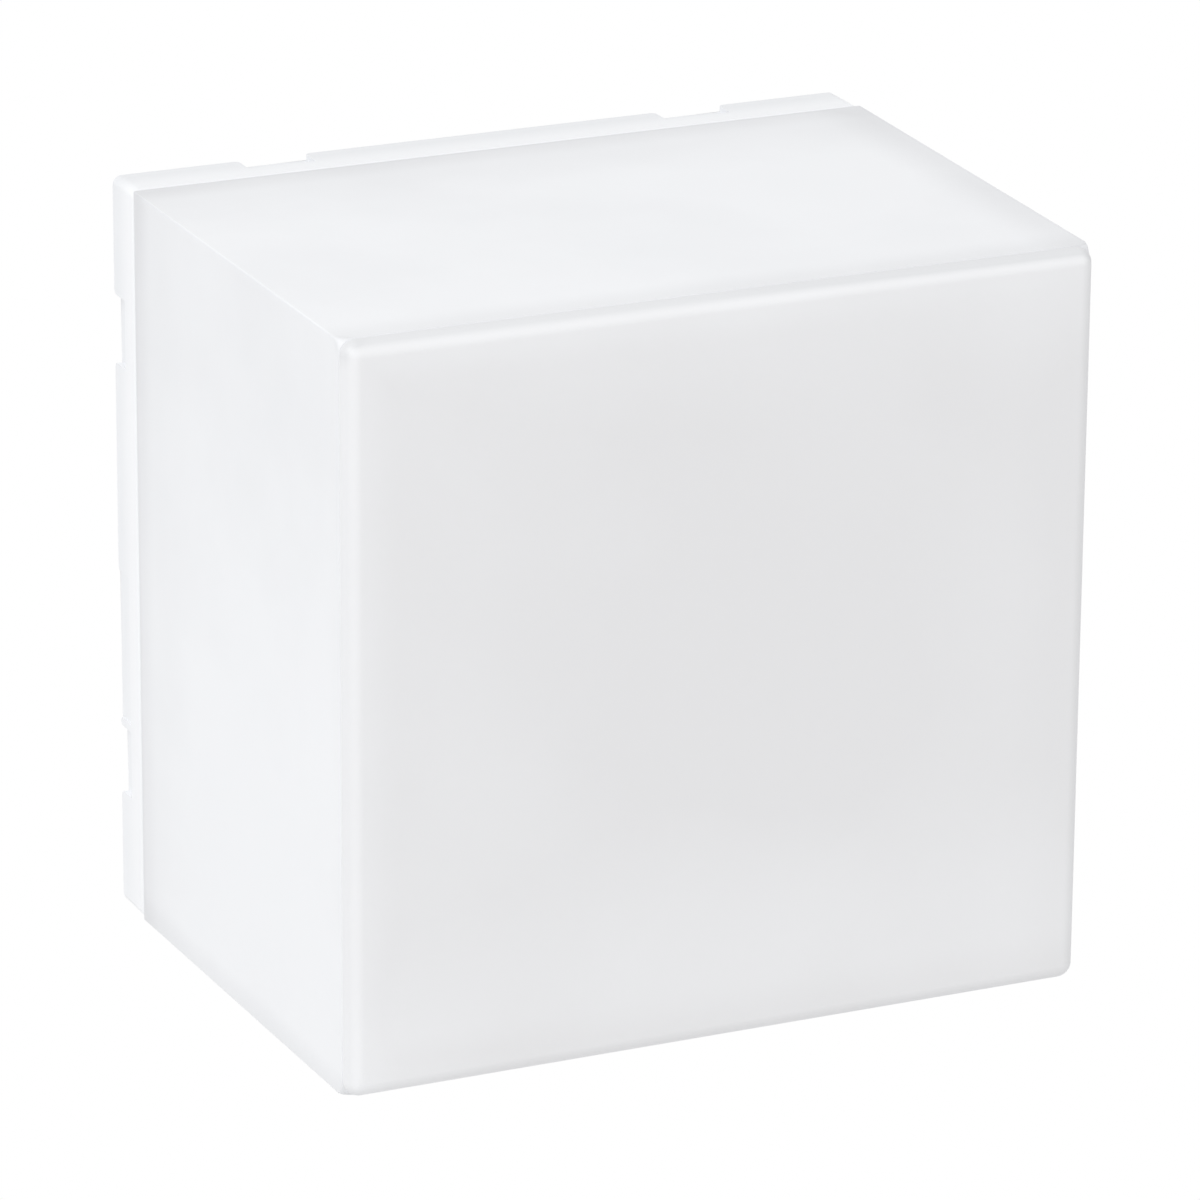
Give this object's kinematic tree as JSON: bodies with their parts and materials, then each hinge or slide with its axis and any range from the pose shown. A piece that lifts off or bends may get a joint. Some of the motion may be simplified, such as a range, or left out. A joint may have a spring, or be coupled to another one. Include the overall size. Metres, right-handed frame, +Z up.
{
  "type": "led bulkhead light",
  "caption": "Square wall light with a deep satin opal box cover on a shallow notched base, holding an LED gear tray, driver and lever terminals.",
  "frame": {"origin": "centre of the rectangle of wall-fixing holes, on the plane of the wall", "axes": "+Y into the wall, so the light shines along -Y; +Z up; +X to the right seen from the front"},
  "size_m": [0.223, 0.1645, 0.216],
  "materials": {
    "base_plastic": "fine satin moulded",
    "opal_plastic": "satin opal diffusing",
    "seal_rubber": "matt",
    "grommet_rubber": "matt",
    "zinc_steel": "bright zinc",
    "brass": "turned",
    "tray_paint": "matt white powder coat",
    "board_mask": "white solder mask",
    "phosphor": "phosphor",
    "connector_plastic": "moulded",
    "driver_plastic": "fine textured",
    "block_plastic": "moulded",
    "lever_plastic": "glossy moulded",
    "lead_brown": "insulation",
    "lead_blue": "insulation",
    "lead_green": "insulation with a yellow stripe",
    "lead_red": "insulation",
    "lead_black": "insulation",
    "link_ivory": "insulation"
  },
  "bodies": {
    "base": {"base_housing": "base_plastic", "wall_seal": "seal_rubber", "cover_seal": "seal_rubber", "cable_grommet": "grommet_rubber", "blanking_plug": "grommet_rubber", "fixing_washers": "seal_rubber", "clamp_inserts": "brass", "gear_tray": "tray_paint", "tray_screws": "zinc_steel", "tray_bush": "grommet_rubber", "led_board_1": "board_mask", "led_board_2": "board_mask", "led_board_3": "board_mask", "led_board_4": "board_mask", "led_chips_1": "phosphor", "led_chips_2": "phosphor", "led_chips_3": "phosphor", "led_chips_4": "phosphor", "board_screws": "zinc_steel", "board_connectors": "connector_plastic", "link_leads": "link_ivory", "driver_case": "driver_plastic", "driver_lid": "driver_plastic", "lid_screws": "zinc_steel", "driver_screws": "zinc_steel", "terminal_block": "block_plastic", "terminal_springs": "zinc_steel", "terminal_screws": "zinc_steel", "earth_ring": "zinc_steel", "earth_screw": "brass", "lead_line": "lead_brown", "lead_neutral": "lead_blue", "lead_earth": "lead_green", "lead_led_positive": "lead_red", "lead_led_negative": "lead_black"},
    "cover": {"opal_cover": "opal_plastic"},
    "clamp_left": {"clamp_screw_left": "zinc_steel"},
    "clamp_right": {"clamp_screw_right": "zinc_steel"},
    "line_lever": {"lever_line": "lever_plastic"},
    "neutral_lever": {"lever_neutral": "lever_plastic"},
    "earth_lever": {"lever_earth": "lever_plastic"}
  },
  "joints": [
    {"name": "cover_lift_off", "type": "slide", "parent": "base", "child": "cover", "axis": [0, -1, 0], "range_m": [0, 0.06]},
    {"name": "clamp_screw_left_turn_out", "type": "slide", "parent": "base", "child": "clamp_left", "axis": [0, 0, -1], "range_m": [0, 0.002]},
    {"name": "clamp_screw_right_turn_out", "type": "slide", "parent": "base", "child": "clamp_right", "axis": [0, 0, -1], "range_m": [0, 0.002]},
    {"name": "line_lever_open", "type": "hinge", "parent": "base", "child": "line_lever", "pos_m": [-0.006, -0.0151, -0.0735], "axis": [-1, 0, 0], "range_deg": [0, 90]},
    {"name": "neutral_lever_open", "type": "hinge", "parent": "base", "child": "neutral_lever", "pos_m": [0.006, -0.0151, -0.0735], "axis": [-1, 0, 0], "range_deg": [0, 90]},
    {"name": "earth_lever_open", "type": "hinge", "parent": "base", "child": "earth_lever", "pos_m": [0.018, -0.0151, -0.0735], "axis": [-1, 0, 0], "range_deg": [0, 90]}
  ]
}
